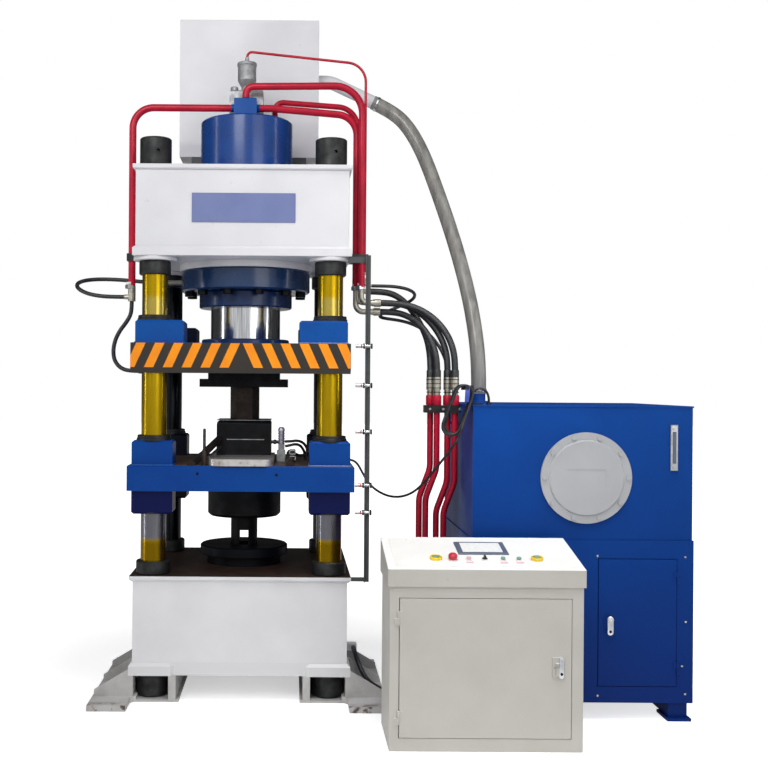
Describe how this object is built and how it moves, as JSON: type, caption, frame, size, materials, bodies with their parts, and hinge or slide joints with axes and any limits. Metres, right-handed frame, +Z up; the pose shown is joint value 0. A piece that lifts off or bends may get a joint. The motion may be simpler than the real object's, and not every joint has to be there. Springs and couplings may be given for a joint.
{
  "type": "hydraulic press",
  "caption": "Four-column hydraulic press with moving crosshead, lifting die table, overhead oil tank, hydraulic power unit and a sloped control console.",
  "frame": {"origin": "on the press axis at floor level, the centre of the four anchor holes' undersides", "axes": "+Z up, +X to the operator's right towards the power unit, +Y to the back"},
  "size_m": [3.1131, 2.003, 3.7],
  "materials": {
    "white_paint": "gloss",
    "worn_paint": "worn",
    "blue_paint": "gloss",
    "crimson_paint": "gloss",
    "grey_paint": "satin",
    "console_paint": "textured",
    "yellowed_chrome": "greased",
    "ground_steel": "ground",
    "blackened_steel": "blackened",
    "black_steel": "painted black",
    "bright_steel": "bright",
    "zinc_plate": "zinc plated",
    "grey_casting": "cast",
    "tool_steel": "oiled",
    "grey_pvc": "smooth",
    "black_rubber": "satin",
    "black_plastic": "moulded",
    "yellow_plastic": "moulded",
    "green_plastic": "moulded",
    "red_plastic": "moulded",
    "white_plastic": "moulded"
  },
  "bodies": {
    "press_frame": {"base_frame": "white_paint", "feet": "worn_paint", "columns": "yellowed_chrome", "column_nuts": "blackened_steel", "upper_crosshead": "white_paint", "main_cylinder": "blue_paint", "cylinder_rings": "blue_paint", "cylinder_bolts": "bright_steel", "prefill_valve": "grey_casting", "valve_block": "blue_paint", "overhead_tank": "white_paint", "tank_stand": "white_paint", "tank_pipes": "white_paint", "fill_hose": "grey_pvc", "pressure_pipes": "crimson_paint", "pipe_clamps": "black_steel", "hose_fittings": "zinc_plate", "pressure_hose_1": "black_rubber", "pressure_hose_2": "black_rubber", "pressure_hose_3": "black_rubber", "pressure_hose_4": "black_rubber", "drain_hose": "black_rubber", "left_loop_hose": "black_rubber", "crosshead_hose": "black_rubber", "console_cable": "black_rubber", "table_cable": "black_rubber", "cable_hank": "black_rubber", "floor_pipes": "crimson_paint", "sensor_rail": "black_steel", "proximity_sensors": "bright_steel", "lower_cylinder": "blue_paint", "power_unit_tank": "blue_paint", "power_unit_cabinet": "blue_paint", "tank_cover": "grey_paint", "level_gauge": "bright_steel", "pump_set": "grey_casting", "console_cabinet": "console_paint", "control_panel": "zinc_plate"},
    "slide_assembly": {"moving_crosshead": "blue_paint", "crosshead_bushes": "black_steel", "ram": "ground_steel", "ram_flange": "blue_paint", "die_holder": "tool_steel", "upper_punch": "tool_steel"},
    "table_assembly": {"die_table": "blue_paint", "table_bushes": "black_steel", "lift_rod": "blue_paint", "die_block": "tool_steel", "bolster_plates": "tool_steel"},
    "console_door": {"console_door": "console_paint"},
    "console_lid": {"console_lid": "console_paint", "touch_panel": "black_plastic"},
    "power_unit_door": {"power_unit_door": "blue_paint"},
    "left_start_button": {"start_button_left": "yellow_plastic"},
    "right_start_button": {"start_button_right": "green_plastic"},
    "stop_button": {"emergency_stop": "red_plastic"},
    "first_push_button": {"push_button_1": "red_plastic"},
    "second_push_button": {"push_button_2": "green_plastic"},
    "third_push_button": {"push_button_3": "white_plastic"},
    "selector": {"selector_knob": "black_plastic"}
  },
  "joints": [
    {"name": "ram_stroke", "type": "slide", "parent": "press_frame", "child": "slide_assembly", "axis": [0, 0, 1], "range_m": [-0.15, 0.13], "deforming": ["crosshead_hose"]},
    {"name": "table_lift", "type": "slide", "parent": "press_frame", "child": "table_assembly", "axis": [0, 0, 1], "range_m": [-0.125, 0], "deforming": ["table_cable"]},
    {"name": "console_door_hinge", "type": "hinge", "parent": "press_frame", "child": "console_door", "pos_m": [0.728, -1.23, 0.365], "axis": [0, 0, -1], "range_deg": [0, 110]},
    {"name": "console_lid_hinge", "type": "hinge", "parent": "press_frame", "child": "console_lid", "pos_m": [1.114, -0.84157, 0.88083], "axis": [-1, 0, 0], "range_deg": [0, 60]},
    {"name": "power_unit_door_hinge", "type": "hinge", "parent": "press_frame", "child": "power_unit_door", "pos_m": [2.112, -0.762, 0.471], "axis": [0, 0, 1], "range_deg": [0, 110]},
    {"name": "left_start_button_press", "type": "slide", "parent": "console_lid", "child": "left_start_button", "axis": [0, 0.1942, -0.981], "range_m": [0, 0.004], "stiffness_N_per_m": 800, "springref_m": -0.003},
    {"name": "right_start_button_press", "type": "slide", "parent": "console_lid", "child": "right_start_button", "axis": [0, 0.1942, -0.981], "range_m": [0, 0.004], "stiffness_N_per_m": 800, "springref_m": -0.003},
    {"name": "stop_button_press", "type": "slide", "parent": "console_lid", "child": "stop_button", "axis": [0, 0.1942, -0.981], "range_m": [0, 0.005], "stiffness_N_per_m": 800, "springref_m": -0.003},
    {"name": "first_push_button_press", "type": "slide", "parent": "console_lid", "child": "first_push_button", "axis": [0, 0.1942, -0.981], "range_m": [0, 0.003], "stiffness_N_per_m": 800, "springref_m": -0.003},
    {"name": "second_push_button_press", "type": "slide", "parent": "console_lid", "child": "second_push_button", "axis": [0, 0.1942, -0.981], "range_m": [0, 0.003], "stiffness_N_per_m": 800, "springref_m": -0.003},
    {"name": "third_push_button_press", "type": "slide", "parent": "console_lid", "child": "third_push_button", "axis": [0, 0.1942, -0.981], "range_m": [0, 0.003], "stiffness_N_per_m": 800, "springref_m": -0.003},
    {"name": "selector_turn", "type": "hinge", "parent": "console_lid", "child": "selector", "pos_m": [1.122, -1.11942, 0.82785], "axis": [0, -0.1942, 0.981], "range_deg": [-45, 45]}
  ]
}
